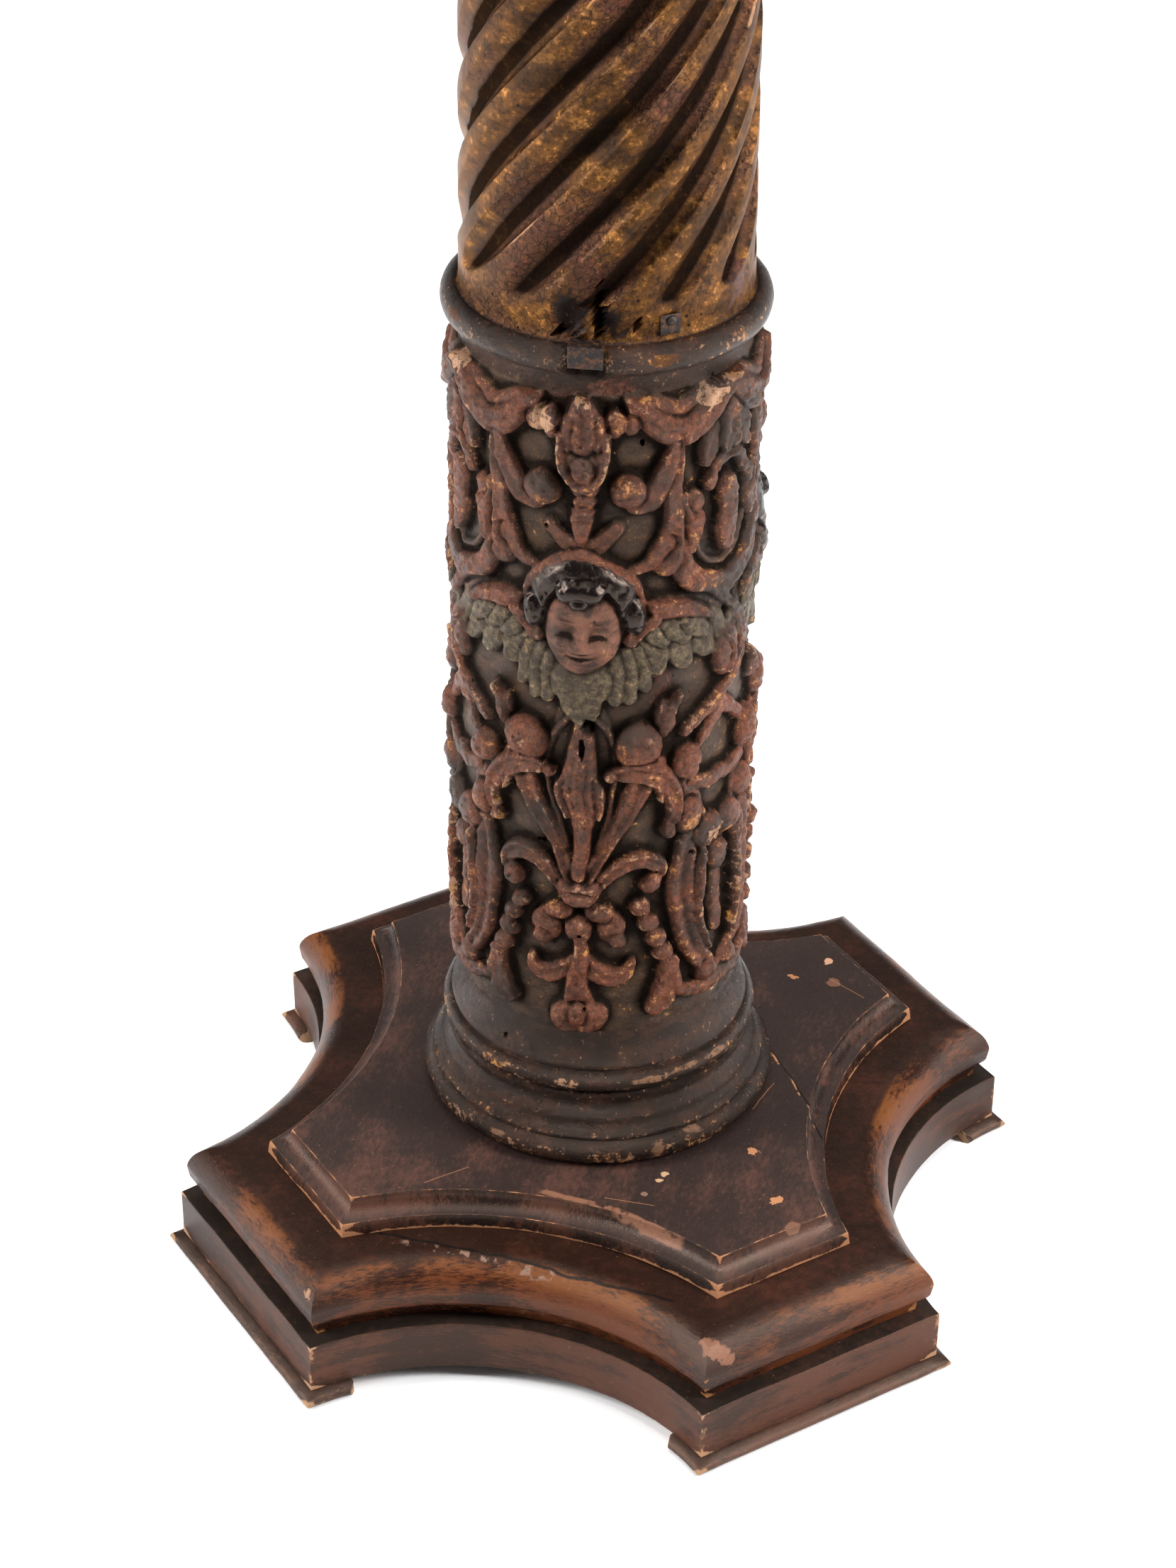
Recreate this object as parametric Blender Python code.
"""Giltwood column: a turned and carved shaft on a stepped base with hollow sides.

Metres, +Z up, origin on the floor under the middle of the base, front towards -Y.
"""
import math

import bmesh
import bpy
import numpy as np
from mathutils import Matrix

# Base: three stacked boards that share one plan, a square with hollow sides and cut corners
BASE_WIDTH = 0.550
SIDE_OPENING = 0.273
HOLLOW_DEPTH = 0.053
FOOT_HEIGHT = 0.010
PLINTH_HEIGHT = 0.0379
MOULDING_HEIGHT = 0.0452
PANEL_HEIGHT = 0.0222
FOOT_PROJECTION = 0.008
FOOT_BEARING = 0.030
FOOT_RETURN = 0.025
LEDGE_WIDTH = 0.0085
NOSING_SETBACK = 0.0040
NOSING_RADIUS = 0.0235
PANEL_SETBACK = 0.0500
PANEL_SLOPE_WIDTH = 0.0125
PANEL_FILLET_HEIGHT = 0.0099

# Column: one log with a turned foot, a carved lower third, a ring and a spiral shaft
TORUS_RADIUS = 0.1248
TORUS_HEIGHT = 0.0200
SCOTIA_RADIUS = 0.1060
SCOTIA_HEIGHT = 0.0340
UPPER_TORUS_RADIUS = 0.1108
UPPER_TORUS_HEIGHT = 0.0146
FLARE_RADIUS = 0.1040
FLARE_HEIGHT = 0.0340
DRUM_BOTTOM_RADIUS = 0.0965
DRUM_TOP_RADIUS = 0.0936
CARVED_HEIGHT = 0.4850
CARVING_DEPTH = 0.0115
RING_RADIUS = 0.1058
RING_HEIGHT = 0.0370
RING_BAND = 0.0150
RING_NECK = 0.0035
SHAFT_BOTTOM_RADIUS = 0.0941
SHAFT_TOP_RADIUS = 0.0832
SHAFT_HEIGHT = 1.060
PLAIN_BAND = 0.026
FLUTE_COUNT = 12
FLUTE_PITCH = 0.630
FLUTE_DEPTH = 0.0080
FLUTE_BAND_SHARE = 0.30
FLUTE_TURN = 2.5
FLUTE_END = 0.020
CHERUB_TURN = 5.0

# Capital: a separate plain block of leaves under a hollow-sided abacus
CAPITAL_HEIGHT = 0.200
ABACUS_HEIGHT = 0.034
ABACUS_WIDTH = 0.290
ABACUS_OPENING = 0.150
ABACUS_HOLLOW = 0.026
BELL_FLARE = 0.030
LEAF_COUNT = 8
LEAF_DEPTH = 0.012
NECKING_HEIGHT = 0.018
NECKING_SWELL = 0.010

# Iron repairs nailed over the ring
STRAP_WIDTH = 0.022
STRAP_DROP = 0.012
STRAP_THICKNESS = 0.0025
STRAP_CLEARANCE = 0.0020
PLATE_SIZE = 0.0135
PLATE_THICKNESS = 0.0012
PLATE_LIFT = 0.002
STRAP_TURN = 6.0
PLATE_TURN = 37.0

GAP = 0.0003
ARC_STEPS = 12
DRUM_ROWS = 200
SHAFT_ROWS = 96
FLUTE_COLUMNS = 24
BELL_ROWS = 12
COLUMN_FACES = 6800
CAPITAL_FACES = 900

PLINTH_BOTTOM = FOOT_HEIGHT + GAP
PLINTH_TOP = FOOT_HEIGHT + PLINTH_HEIGHT
MOULDING_BOTTOM = PLINTH_TOP + GAP
MOULDING_TOP = PLINTH_TOP + MOULDING_HEIGHT
PANEL_BOTTOM = MOULDING_TOP + GAP
PANEL_TOP = MOULDING_TOP + PANEL_HEIGHT
COLUMN_BOTTOM = PANEL_TOP + GAP
SCOTIA_BOTTOM = COLUMN_BOTTOM + TORUS_HEIGHT
UPPER_TORUS_BOTTOM = SCOTIA_BOTTOM + SCOTIA_HEIGHT
FLARE_BOTTOM = UPPER_TORUS_BOTTOM + UPPER_TORUS_HEIGHT
DRUM_BOTTOM = FLARE_BOTTOM + FLARE_HEIGHT
RING_BOTTOM = DRUM_BOTTOM + CARVED_HEIGHT
SHAFT_BOTTOM = RING_BOTTOM + RING_HEIGHT
SHAFT_TOP = SHAFT_BOTTOM + SHAFT_HEIGHT
CAPITAL_BOTTOM = SHAFT_TOP + GAP
CAPITAL_TOP = SHAFT_TOP + CAPITAL_HEIGHT

# The carving is laid out on a sheet: degrees from a cherub's middle, and heights in
# units, 485 of which make the carved height. One bay of 60 degrees is mirrored six times.
SHEET_LOW = -2.7
SHEET_HIGH = 482.3
SHEET_RADIUS = 100.0
BAY = 60.0

BLACK_BROWN = (0.020, 0.014, 0.011, 1.0)
RED_BROWN = (0.085, 0.028, 0.014, 1.0)
DULL_BROWN = (0.060, 0.032, 0.022, 1.0)
CARVED_BROWN = (0.070, 0.038, 0.024, 1.0)
OLD_GOLD = (0.210, 0.125, 0.045, 1.0)
IRON = (0.045, 0.042, 0.040, 1.0)


def clear_scene():
    for item in list(bpy.data.objects):
        bpy.data.objects.remove(item, do_unlink=True)


def material(name, colour, roughness, metallic=0.0):
    made = bpy.data.materials.new(name)
    made.use_nodes = True
    shader = made.node_tree.nodes["Principled BSDF"]
    shader.inputs["Base Color"].default_value = colour
    shader.inputs["Roughness"].default_value = roughness
    shader.inputs["Metallic"].default_value = metallic
    return made


def skin(name, rows, finish):
    """Closed solid through rings of equal length, listed upward, with flat ends."""
    count = len(rows[0])
    points = [point for row in rows for point in row]
    faces = []
    for level in range(len(rows) - 1):
        low = level * count
        high = low + count
        for k in range(count):
            after = (k + 1) % count
            faces.append((low + k, low + after, high + after, high + k))
    last = (len(rows) - 1) * count
    faces.append(tuple(reversed(range(count))))
    faces.append(tuple(range(last, last + count)))
    mesh = bpy.data.meshes.new(name)
    mesh.from_pydata(points, [], faces)
    mesh.materials.append(finish)
    mesh.validate()
    made = bpy.data.objects.new(name, mesh)
    bpy.context.scene.collection.objects.link(made)
    return made


def shade(made, degrees):
    made.data.shade_smooth()
    made.data.set_sharp_from_angle(angle=math.radians(degrees))


def simplify(made, face_count, bottom, top):
    """Fewer triangles where the surface is even, with both end faces kept level."""
    modifier = made.modifiers.new("fewer", "DECIMATE")
    triangles = sum(len(face.vertices) - 2 for face in made.data.polygons)
    modifier.ratio = face_count / triangles
    graph = bpy.context.evaluated_depsgraph_get()
    graph.update()
    lighter = bpy.data.meshes.new_from_object(made.evaluated_get(graph))
    made.modifiers.clear()
    made.data = lighter
    for point in lighter.vertices:
        for level in (bottom, top):
            if abs(point.co.z - level) < 0.0006:
                point.co.z = level


def hollow_plan(width, opening, depth, inset, flat_steps=1):
    """Plan of a square with hollow sides and cut corners, moved inward by inset."""
    chord = opening / 2
    radius = (chord ** 2 + depth ** 2) / (2 * depth)
    centre = width / 2 - depth + radius
    reach = width / 2 + chord - math.sqrt(2) * inset
    grown = radius + inset
    inner = 2 * (reach ** 2 + centre ** 2 - grown ** 2)
    tip = (reach + centre - math.sqrt((reach + centre) ** 2 - inner)) / 2
    sweep = math.asin((reach - tip) / grown)
    points = []
    for side in range(4):
        stretch = []
        for step in range(ARC_STEPS + 1):
            angle = sweep * (2 * step / ARC_STEPS - 1)
            stretch.append((grown * math.sin(angle), grown * math.cos(angle) - centre))
        for step in range(1, flat_steps):
            along = (2 * tip - reach) * step / flat_steps
            stretch.append((reach - tip + along, along - tip))
        turn = side * math.pi / 2
        for x, y in stretch:
            turned_x = x * math.cos(turn) - y * math.sin(turn)
            turned_y = x * math.sin(turn) + y * math.cos(turn)
            points.append((turned_x, turned_y))
    return points


def base_ring(inset, z):
    plan = hollow_plan(BASE_WIDTH, SIDE_OPENING, HOLLOW_DEPTH, inset)
    return [(x, y, z) for x, y in plan]


def plinth_band():
    """Upright band of the lowest board."""
    rows = [base_ring(0.0, PLINTH_BOTTOM), base_ring(0.0, PLINTH_TOP)]
    return skin("plinth_band", rows, material("plinth_wood", DULL_BROWN, 0.6))


def moulding_profile():
    """Recessed fillet, slight undercut, upright face and a quarter-round nosing."""
    lip = MOULDING_BOTTOM + 0.011
    shoulder = MOULDING_TOP - NOSING_RADIUS
    profile = [(LEDGE_WIDTH + 0.004, MOULDING_BOTTOM), (LEDGE_WIDTH + 0.003, lip)]
    profile.append((NOSING_SETBACK + 0.003, lip + 0.0008))
    profile.append((NOSING_SETBACK + 0.0008, (lip + shoulder) / 2))
    for step in range(7):
        angle = math.radians(90 * step / 6)
        inset = NOSING_SETBACK + NOSING_RADIUS * (1 - math.cos(angle))
        profile.append((inset, shoulder + NOSING_RADIUS * math.sin(angle)))
    return profile


def base_moulding():
    rows = [base_ring(inset, z) for inset, z in moulding_profile()]
    made = skin("base_moulding", rows, material("moulding_wood", RED_BROWN, 0.35))
    shade(made, 35)
    return made


def base_panel():
    """Raised panel: an upright fillet, a hollow slope and a flat top."""
    fillet_top = PANEL_BOTTOM + PANEL_FILLET_HEIGHT
    rise = PANEL_TOP - fillet_top - 0.0015
    rows = [base_ring(PANEL_SETBACK, PANEL_BOTTOM), base_ring(PANEL_SETBACK + 0.0012, fillet_top)]
    for step in range(1, 5):
        angle = math.radians(90 * step / 4)
        inset = PANEL_SETBACK + 0.0012 + PANEL_SLOPE_WIDTH * math.sin(angle)
        rows.append(base_ring(inset, fillet_top + rise * (1 - math.cos(angle))))
    rows.append(base_ring(PANEL_SETBACK + 0.0012 + PANEL_SLOPE_WIDTH, PANEL_TOP))
    made = skin("base_panel", rows, material("panel_wood", BLACK_BROWN, 0.4))
    shade(made, 35)
    return made


def foot_outline(outward, inward):
    """Strip around one cut corner, from a little way up each hollow side."""
    outer = hollow_plan(BASE_WIDTH, SIDE_OPENING, HOLLOW_DEPTH, -outward)
    inner = hollow_plan(BASE_WIDTH, SIDE_OPENING, HOLLOW_DEPTH, inward)
    first = outer[ARC_STEPS - 1:ARC_STEPS + 3]
    second = inner[ARC_STEPS - 1:ARC_STEPS + 3]
    share_out = return_share(outer)
    share_in = return_share(inner)
    strip_out = trimmed(first, share_out)
    strip_in = trimmed(second, share_in)
    return strip_out + strip_in[::-1]


def return_share(plan):
    """How much of the last arc step the strip's return covers."""
    step = math.dist(plan[ARC_STEPS - 1], plan[ARC_STEPS])
    return FOOT_RETURN / step


def trimmed(stretch, share):
    """The stretch with its end points moved to the wanted share of their steps."""
    start, tip, far_tip, end = stretch
    moved_start = tuple(t + (s - t) * share for s, t in zip(start, tip))
    moved_end = tuple(t + (e - t) * share for e, t in zip(end, far_tip))
    return [moved_start, tip, far_tip, moved_end]


def corner_feet():
    """Four moulded strips under the cut corners, which carry the base."""
    finish = material("foot_wood", BLACK_BROWN, 0.5)
    feet = []
    levels = ((0.7, 0.0), (1.0, 0.25), (1.0, 0.7), (0.6, 1.0))
    for corner in range(4):
        rows = []
        for share, lift in levels:
            strip = foot_outline(FOOT_PROJECTION * share, FOOT_BEARING)
            turn = corner * math.pi / 2
            ring = []
            for x, y in strip:
                turned_x = x * math.cos(turn) - y * math.sin(turn)
                turned_y = x * math.sin(turn) + y * math.cos(turn)
                ring.append((turned_x, turned_y, FOOT_HEIGHT * lift))
            rows.append(ring)
        foot = skin(f"corner_foot_{corner + 1}", rows, finish)
        shade(foot, 40)
        feet.append(foot)
    return feet


def bead(inner, outer, bottom, height, steps):
    """Points up a half-round bead that stands from inner to outer."""
    points = []
    for step in range(steps + 1):
        angle = math.radians(180 * step / steps - 90)
        radius = inner + (outer - inner) * math.cos(angle)
        points.append((radius, bottom + height * (1 + math.sin(angle)) / 2))
    return points


def foot_profile():
    """Turned foot: torus, fillet, hollow scotia, upper torus and flare to the drum."""
    profile = bead(TORUS_RADIUS - 0.0095, TORUS_RADIUS, COLUMN_BOTTOM, TORUS_HEIGHT, 8)
    fillet = (TORUS_RADIUS - 0.007, SCOTIA_BOTTOM + 0.0004)
    profile += [fillet, (fillet[0], SCOTIA_BOTTOM + 0.0034)]
    profile += [(SCOTIA_RADIUS + 0.0085, SCOTIA_BOTTOM + 0.0045)]
    hollow = SCOTIA_HEIGHT - 0.013
    lower = SCOTIA_BOTTOM + 0.0115
    profile.append((SCOTIA_RADIUS + 0.007, lower - 0.001))
    for step in range(9):
        angle = math.radians(180 * step / 8)
        opening = 0.0065 if step < 4 else 0.0025
        radius = SCOTIA_RADIUS + opening * abs(math.cos(angle))
        profile.append((radius, lower + hollow * step / 8))
    inner = UPPER_TORUS_RADIUS - 0.0068
    profile += bead(inner, UPPER_TORUS_RADIUS, UPPER_TORUS_BOTTOM, UPPER_TORUS_HEIGHT, 6)
    profile.append((FLARE_RADIUS - 0.001, FLARE_BOTTOM + 0.001))
    profile.append((FLARE_RADIUS + 0.0008, FLARE_BOTTOM + 0.0035))
    for step in range(1, 7):
        share = step / 7
        radius = DRUM_BOTTOM_RADIUS + (FLARE_RADIUS - DRUM_BOTTOM_RADIUS) * (1 - share) ** 2
        profile.append((radius, FLARE_BOTTOM + 0.0045 + (FLARE_HEIGHT - 0.0045) * share))
    return profile


def ring_profile():
    """Plain band above the carving, a half-round ring, and a narrow trough to the shaft."""
    bottom = RING_BOTTOM + RING_BAND
    height = 0.93 * (RING_HEIGHT - RING_BAND)
    profile = [(DRUM_TOP_RADIUS, bottom)]
    profile += bead(DRUM_TOP_RADIUS + RING_NECK, RING_RADIUS, bottom + 0.0005, height, 10)
    profile.append((SHAFT_BOTTOM_RADIUS + 0.0018, RING_BOTTOM + 0.95 * RING_HEIGHT))
    return profile


def column_profile():
    """All rows of the log as (radius, z), close together where it is carved."""
    profile = foot_profile()
    for step in range(DRUM_ROWS + 1):
        share = step / DRUM_ROWS
        radius = DRUM_BOTTOM_RADIUS + (DRUM_TOP_RADIUS - DRUM_BOTTOM_RADIUS) * share
        profile.append((radius, DRUM_BOTTOM + CARVED_HEIGHT * share))
    profile += ring_profile()
    for step in range(SHAFT_ROWS + 1):
        share = step / SHAFT_ROWS
        radius = SHAFT_BOTTOM_RADIUS + (SHAFT_TOP_RADIUS - SHAFT_BOTTOM_RADIUS) * share
        profile.append((radius, SHAFT_BOTTOM + SHAFT_HEIGHT * share))
    return profile


def smooth_path(points, steps=5):
    """Points along a soft curve through a few (degrees, height) points of the sheet."""
    knots = np.array([(math.radians(a) * SHEET_RADIUS, v) for a, v in points], float)
    padded = np.vstack([2 * knots[0] - knots[1], knots, 2 * knots[-1] - knots[-2]])
    line = []
    for k in range(len(knots) - 1):
        before, start, end, after = padded[k:k + 4]
        for t in np.linspace(0, 1, steps, endpoint=False):
            curve = 2 * start + (end - before) * t
            curve = curve + (2 * before - 5 * start + 4 * end - after) * t ** 2
            curve = curve + (3 * start - before - 3 * end + after) * t ** 3
            line.append(curve / 2)
    line.append(knots[-1])
    return np.array(line)


def strap(u, v, points, widths, height):
    """Height of a rounded strap along a path; widths are half widths, start to end."""
    line = smooth_path(points)
    spread = np.linspace(0, 1, len(widths))
    halves = np.interp(np.linspace(0, 1, len(line)), spread, widths)
    found = np.zeros_like(u)
    for k in range(len(line) - 1):
        run = line[k + 1] - line[k]
        t = ((u - line[k][0]) * run[0] + (v - line[k][1]) * run[1]) / (run @ run)
        t = np.clip(t, 0, 1)
        away = np.hypot(u - line[k][0] - t * run[0], v - line[k][1] - t * run[1])
        half = halves[k] + t * (halves[k + 1] - halves[k])
        section = np.clip(1 - (away / half) ** 2.6, 0, 1) ** (1 / 2.6)
        found = np.maximum(found, height * section)
    return found


def dome(u, v, place, radii, height):
    """Height of a rounded boss at a place given in degrees and sheet height."""
    across = (u - math.radians(place[0]) * SHEET_RADIUS) / radii[0]
    along = (v - place[1]) / radii[1]
    return height * np.sqrt(np.clip(1 - across ** 2 - along ** 2, 0, 1))


def upper_ornament(u, v):
    """Swags, central leaf and cup, pendant beads and the upright straps."""
    return [
        strap(u, v, [(21, 480), (26, 468), (36, 459), (47, 468), (60, 483)], (4, 7, 8, 8, 6), 0.95),
        strap(u, v, [(57, 474), (52, 452), (46, 432)], (6, 10, 4), 0.9),
        strap(u, v, [(60, 470), (58, 444)], (9, 6), 1.0),
        strap(u, v, [(0, 452), (0, 482)], (10, 4), 0.8),
        dome(u, v, (15.5, 468), (8, 9), 0.7),
        strap(u, v, [(8.5, 460), (9, 444), (6, 429), (0, 424)], (5, 5, 4.5, 4.5), 0.95),
        dome(u, v, (0, 437), (8, 10), 0.8),
        dome(u, v, (0, 416), (6.5, 5.5), 0.7),
        dome(u, v, (0, 402), (6.5, 8.5), 0.8),
        dome(u, v, (0, 386), (4.5, 10), 0.6),
        dome(u, v, (17, 420), (9.5, 10), 0.9),
        strap(u, v, [(34, 450), (30, 430), (25, 416), (19, 411)], (4, 4.5, 4.5, 4), 0.85),
        strap(u, v, [(35, 452), (34, 425), (33, 395), (31, 365)], (4, 5.5, 6.5, 7), 0.8),
        strap(u, v, [(38, 405), (43, 378)], (6, 7), 0.75),
        strap(u, v, [(28, 380), (22, 366), (15, 361)], (4, 4, 3), 0.5),
        strap(u, v, [(2, 373), (7, 388), (13, 397)], (3.5, 3.5, 4), 0.65),
    ]


def cartouche(u, v):
    """Oval frame between two cherubs, with a lozenge and a small arch inside."""
    return [
        strap(u, v, [(34, 405), (37, 370), (45, 347), (60, 337)], (5, 6, 7, 7), 0.75),
        strap(u, v, [(60, 410), (60, 372)], (9, 9), 0.75),
        strap(u, v, [(52, 420), (56, 430), (60, 432)], (4, 4, 4), 0.7),
    ]


def cherub(u, v):
    """Winged head: face, hair cap, hood rim, shoulder curls and rows of feathers."""
    found = [
        strap(u, v, [(0, 374), (9, 368), (16, 355), (20, 340)], (3, 3, 3, 3), 0.95),
        dome(u, v, (0, 345), (33, 28), 1.45),
        strap(u, v, [(15, 343), (17, 330), (16, 322)], (8, 6, 4), 1.0),
        dome(u, v, (0, 352), (9, 8), 1.75),
        strap(u, v, [(17, 322), (30, 330), (42, 322)], (4, 8, 4), 0.65),
        strap(u, v, [(12, 316), (25, 322), (40, 318), (54, 312)], (5, 7, 7, 4), 0.8),
        strap(u, v, [(0, 285), (0, 262)], (15, 9), 0.65),
    ]
    for start, tip in ((9, 14), (16, 22), (24, 30), (33, 41), (43, 52)):
        found.append(strap(u, v, [(start, 308), (tip, 285)], (7, 6.5), 0.7))
    for start, tip in ((6, 9), (12, 17)):
        found.append(strap(u, v, [(start, 290), (tip, 270)], (6.5, 6), 0.6))
    return found + [face(u, v)]


def face(u, v):
    """Calm child's face on an oval head: brow, nose, cheeks, lips and chin."""
    oval = dome(u, v, (0, 324), (25.5, 36), 1.6)
    across = u / 25.5
    along = (v - 324) / 36
    nose = 0.26 * np.exp(-(across / 0.14) ** 2 - ((along + 0.12) / 0.16) ** 2)
    eyes = 0.20 * np.exp(-((np.abs(across) - 0.40) / 0.20) ** 2 - ((along - 0.04) / 0.11) ** 2)
    cheeks = 0.12 * np.exp(-((np.abs(across) - 0.45) / 0.25) ** 2 - ((along + 0.30) / 0.22) ** 2)
    lips = 0.10 * np.exp(-(across / 0.26) ** 2 - ((along + 0.50) / 0.07) ** 2)
    chin = 0.12 * np.exp(-(across / 0.25) ** 2 - ((along + 0.76) / 0.14) ** 2)
    return np.where(oval > 0.5, oval + nose - eyes + cheeks + lips + chin, oval)


def fruit_spray(u, v):
    """Pointed bud between fruits in curling cups whose stems meet below it."""
    return [
        strap(u, v, [(0, 248), (0, 215), (0, 192), (0, 165), (0, 136)], (3, 11, 14.5, 8, 5), 0.9),
        strap(u, v, [(9, 244), (13, 205), (12, 185), (4, 145)], (4, 4, 4, 4), 0.35),
        dome(u, v, (20.5, 230), (15, 16), 1.0),
        dome(u, v, (40, 206), (12, 15), 0.95),
        dome(u, v, (42, 168), (12, 14), 0.9),
        dome(u, v, (31, 243), (7, 10), 0.75),
        strap(u, v, [(13, 214), (25, 206), (34, 190), (36, 168)], (3, 3.5, 3.5, 3), 0.85),
        strap(u, v, [(16, 202), (11, 178), (6, 152), (2, 130)], (8, 8, 6, 4), 0.6),
        strap(u, v, [(31, 182), (22, 179), (13, 160), (4, 134)], (9, 7, 6, 4), 0.6),
    ]


def lower_ornament(u, v):
    """Knob, C-scrolls, flower with a berry, three-lobed leaf, bead strings, tall leaves."""
    found = [
        dome(u, v, (0, 115), (11, 13), 1.0),
        strap(u, v, [(0, 103), (7, 104), (12, 113)], (6, 6, 4), 0.75),
        strap(u, v, [(6, 112), (9, 130), (20, 141), (29, 134), (30, 122)], (4, 5, 5, 5, 5), 0.75),
        dome(u, v, (29, 119), (7.5, 8), 0.85),
        dome(u, v, (0, 84), (8.5, 11), 1.0),
        strap(u, v, [(6, 98), (12, 76)], (7, 8.5), 0.75),
        strap(u, v, [(0, 72), (0, 45), (0, 12)], (4, 9, 17), 0.75),
        dome(u, v, (0, 6), (16, 9), 0.95),
        strap(u, v, [(2, 52), (11, 46), (18, 32)], (6, 9, 8), 0.75),
        dome(u, v, (32, 25), (11, 16), 0.8),
        strap(u, v, [(45, 132), (44, 100), (46, 66), (53, 38), (61, 20)], (13, 12, 9, 7, 6), 0.85),
        dome(u, v, (52, 148), (13, 11), 0.8),
        dome(u, v, (60, 118), (9, 10), 0.75),
    ]
    for k in range(4):
        share = k / 3
        found.append(dome(u, v, (23 + 12 * share, 96 - 52 * share), (6 + share, 7), 0.8))
    return found


def bud_scroll(u, v):
    """Bud in a C-scroll under each oval frame; u runs from the middle of its field."""
    bud = dome(u, v, (0, 283), (13, 20), 0.9)
    curve = [(-7, 334), (0, 322), (8, 304), (12, 285), (8, 266), (-4, 250), (-20, 233)]
    return np.maximum(bud, strap(u, v, curve, (4, 4.5, 5, 5, 5, 5, 4), 0.8))


def carving(angle, z):
    """Relief over the drum as a share of the carving depth; angle in degrees."""
    v = SHEET_LOW + (z - DRUM_BOTTOM) / CARVED_HEIGHT * (SHEET_HIGH - SHEET_LOW)
    folded = np.abs((angle + BAY) % (2 * BAY) - BAY)
    u = np.radians(folded) * SHEET_RADIUS
    relief = np.zeros_like(u)
    for motif in (upper_ornament, cartouche, cherub, fruit_spray, lower_ornament):
        for height in motif(u, v):
            relief = np.maximum(relief, height)
    for middle, hand in ((BAY, 1), (-BAY, -1), (3 * BAY, 1)):
        off_middle = ((angle - middle + 180) % 360 - 180) * hand
        near = bud_scroll(np.radians(off_middle) * SHEET_RADIUS, v)
        relief = np.maximum(relief, np.where(np.abs(off_middle) < BAY / 2, near, 0))
    return relief


def flute_depth(phase):
    """Lopsided channel across one flute: flat band, slow fall, steep rise to an arris."""
    t = np.clip((phase - FLUTE_BAND_SHARE) / (1 - FLUTE_BAND_SHARE), 0, 1)
    fall = (1 - np.cos(np.pi * np.clip(t / 0.68, 0, 1))) / 2
    rise = np.sqrt(np.clip(1 - (np.clip(t - 0.68, 0, 1) / 0.32) ** 2, 0, 1))
    return fall * rise


def column():
    """The whole log as a grid whose columns follow the spiral up the shaft."""
    profile = np.array(column_profile())
    radius = profile[:, 0][:, None]
    z = profile[:, 1][:, None]
    count = FLUTE_COUNT * FLUTE_COLUMNS
    steps = np.arange(count)[None, :]
    twist = 360 * np.clip(z - SHAFT_BOTTOM, 0, None) / FLUTE_PITCH
    angle = steps * 360 / count + FLUTE_TURN + twist
    level = z + 0 * angle
    inside = (level > DRUM_BOTTOM) & (level < RING_BOTTOM)
    relief = np.where(inside, carving(angle - CHERUB_TURN, level), 0)
    depth = flute_depth((steps % FLUTE_COLUMNS) / FLUTE_COLUMNS)
    low_end = np.clip((level - SHAFT_BOTTOM - PLAIN_BAND) / FLUTE_END, 0, 1)
    high_end = np.clip((SHAFT_TOP - PLAIN_BAND - level) / FLUTE_END, 0, 1)
    around = radius + CARVING_DEPTH * relief
    around = around - FLUTE_DEPTH * depth * np.sqrt(low_end * high_end)
    x = around * np.sin(np.radians(angle))
    y = -around * np.cos(np.radians(angle))
    rows = [list(zip(xs, ys, zs)) for xs, ys, zs in zip(x.tolist(), y.tolist(), level.tolist())]
    made = skin("column", rows, material("column_gilding", OLD_GOLD, 0.45, 0.3))
    simplify(made, COLUMN_FACES, COLUMN_BOTTOM, SHAFT_TOP)
    shade(made, 50)
    return made


def capital_ring(shares, z):
    """Ring between a round neck (0) and the abacus plan (1), one share for each point."""
    plan = hollow_plan(ABACUS_WIDTH, ABACUS_OPENING, ABACUS_HOLLOW, 0.0, 8)
    ring = []
    for (x, y), (radius, share) in zip(plan, shares):
        far = math.hypot(x, y)
        reach = radius + (far - radius) * share
        ring.append((x * reach / far, y * reach / far, z))
    return ring


def capital():
    """Necking bead, flared bell with tall water leaves, and the moulded abacus."""
    plan = hollow_plan(ABACUS_WIDTH, ABACUS_OPENING, ABACUS_HOLLOW, 0.0, 8)
    angles = [math.atan2(y, x) for x, y in plan]
    bell_top = CAPITAL_TOP - ABACUS_HEIGHT
    swell = SHAFT_TOP_RADIUS + NECKING_SWELL
    neck = bead(SHAFT_TOP_RADIUS, swell, CAPITAL_BOTTOM, NECKING_HEIGHT, 6)
    rows = []
    for radius, z in neck:
        rows.append(capital_ring([(radius, 0.0)] * len(plan), z))
    leaf_bottom = CAPITAL_BOTTOM + NECKING_HEIGHT + 0.002
    for step in range(BELL_ROWS + 1):
        share = step / BELL_ROWS
        z = leaf_bottom + (bell_top - leaf_bottom) * share
        bell = SHAFT_TOP_RADIUS + BELL_FLARE * share ** 3
        shares = []
        for angle in angles:
            blade = abs(math.sin(LEAF_COUNT * angle / 2)) ** 0.6
            curl = math.exp(-((share - 0.72) / 0.12) ** 2)
            leaf = LEAF_DEPTH * blade * (0.45 + curl) if share < 0.85 else 0.0
            shares.append((bell + leaf, 0.0))
        rows.append(capital_ring(shares, z))
    around = SHAFT_TOP_RADIUS + BELL_FLARE
    slab = CAPITAL_TOP - bell_top - 0.001
    for share, lift in ((0.72, 0.0), (0.80, 0.25), (0.92, 0.45), (1.0, 0.5), (1.0, 1.0)):
        rows.append(capital_ring([(around, share)] * len(plan), CAPITAL_TOP - slab * (1 - lift)))
    made = skin("capital", rows, material("capital_gilding", OLD_GOLD, 0.45, 0.3))
    simplify(made, CAPITAL_FACES, CAPITAL_BOTTOM, CAPITAL_TOP)
    shade(made, 40)
    return made


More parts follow.
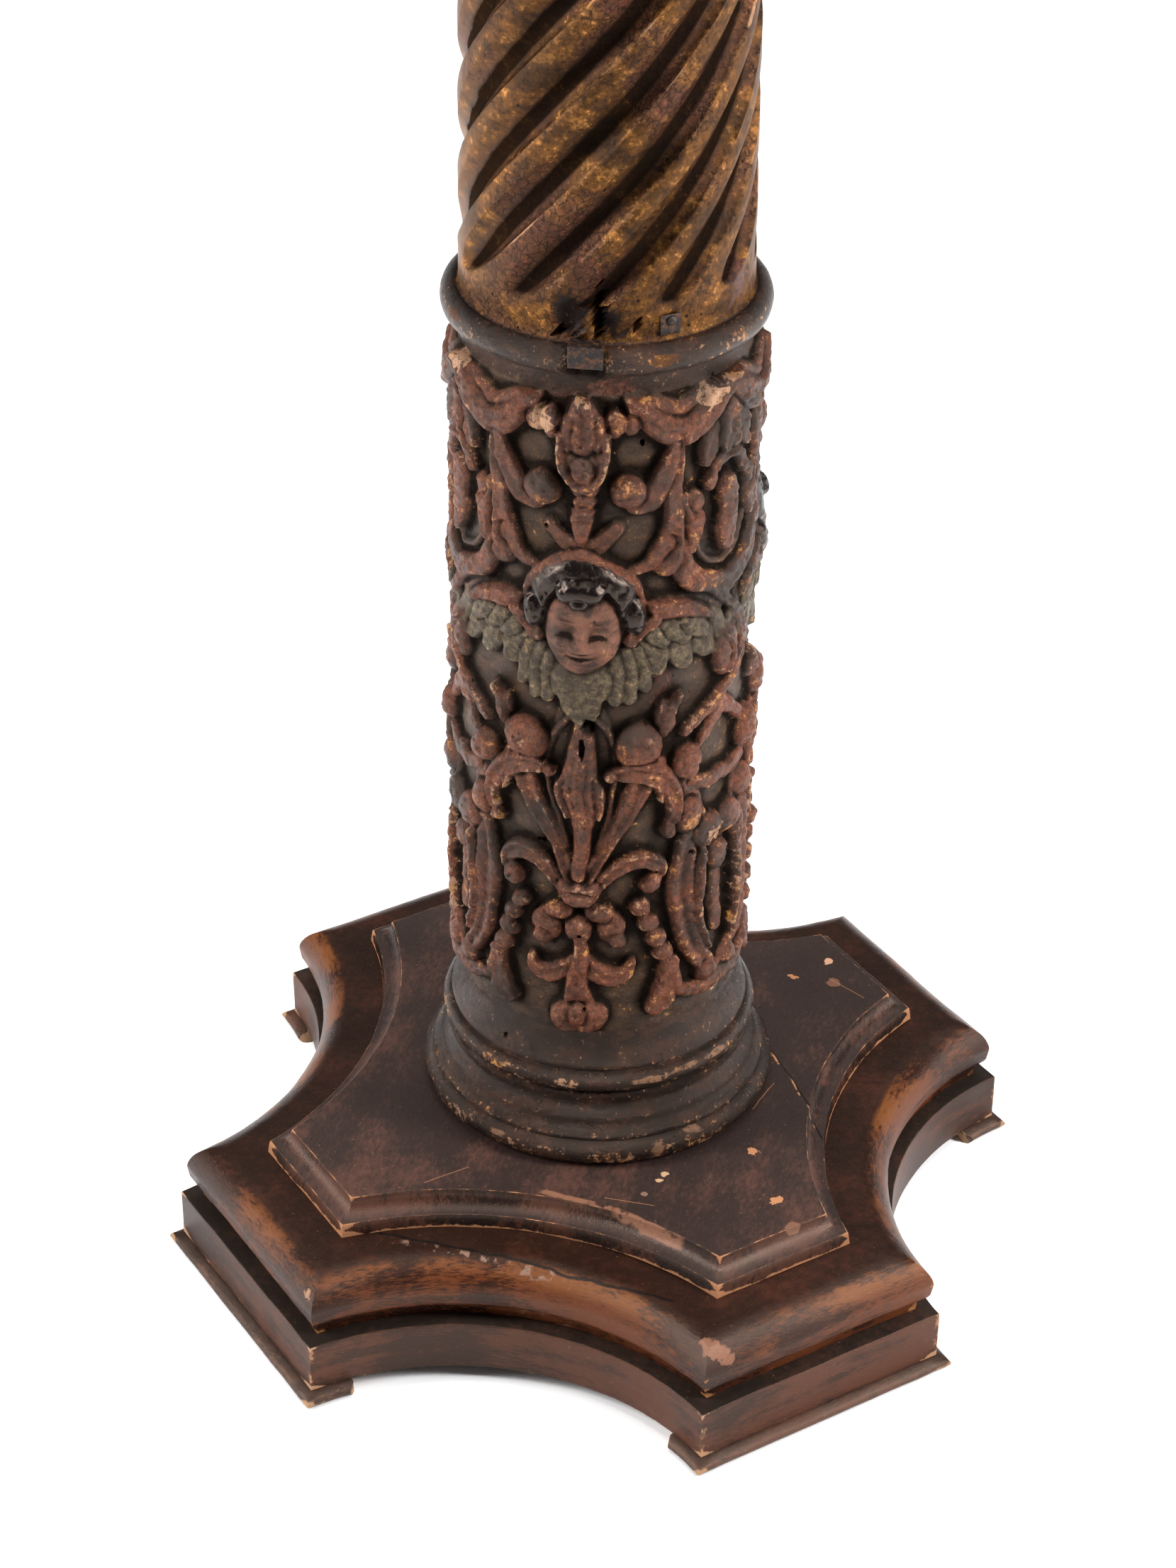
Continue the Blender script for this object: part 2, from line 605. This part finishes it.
def turned_round(shape, name, turn, finish):
    """Object of a finished shape, turned round the column's axis from the front."""
    bmesh.ops.rotate(shape, cent=(0, 0, 0), matrix=Matrix.Rotation(math.radians(turn), 3, "Z"),
                     verts=shape.verts)
    bmesh.ops.recalc_face_normals(shape, faces=shape.faces)
    mesh = bpy.data.meshes.new(name)
    shape.to_mesh(mesh)
    shape.free()
    mesh.materials.append(finish)
    made = bpy.data.objects.new(name, mesh)
    bpy.context.scene.collection.objects.link(made)
    return made


def iron_strap(finish):
    """Bent strap that lies over the ring's trough and turns down over its broken face."""
    under = SHAFT_BOTTOM + GAP
    over = under + STRAP_THICKNESS
    inner = SHAFT_BOTTOM_RADIUS + STRAP_CLEARANCE
    bend = RING_RADIUS + GAP
    outer = bend + STRAP_THICKNESS
    section = [(inner, under), (bend, under), (bend, under - STRAP_DROP)]
    section += [(outer, under - STRAP_DROP), (outer, over), (inner, over)]
    shape = bmesh.new()
    corners = [shape.verts.new((-STRAP_WIDTH / 2, -radius, z)) for radius, z in section]
    side = shape.faces.new(corners)
    grown = bmesh.ops.extrude_face_region(shape, geom=[side])["geom"]
    far_side = [item for item in grown if isinstance(item, bmesh.types.BMVert)]
    bmesh.ops.translate(shape, vec=(STRAP_WIDTH, 0, 0), verts=far_side)
    return turned_round(shape, "iron_strap", STRAP_TURN, finish)


def iron_plate(finish):
    """Small square plate, nailed on the plain band just above the ring."""
    shape = bmesh.new()
    bmesh.ops.create_cube(shape, size=1.0)
    bmesh.ops.scale(shape, vec=(PLATE_SIZE, PLATE_THICKNESS, PLATE_SIZE), verts=shape.verts)
    away = SHAFT_BOTTOM_RADIUS + GAP + PLATE_THICKNESS / 2
    height = SHAFT_BOTTOM + PLATE_LIFT + PLATE_SIZE / 2
    bmesh.ops.translate(shape, vec=(0, -away, height), verts=shape.verts)
    return turned_round(shape, "iron_plate", PLATE_TURN, finish)


def build():
    clear_scene()
    plinth_band()
    base_moulding()
    base_panel()
    corner_feet()
    column()
    capital()
    iron = material("old_iron", IRON, 0.6, 0.8)
    iron_strap(iron)
    iron_plate(iron)


build()
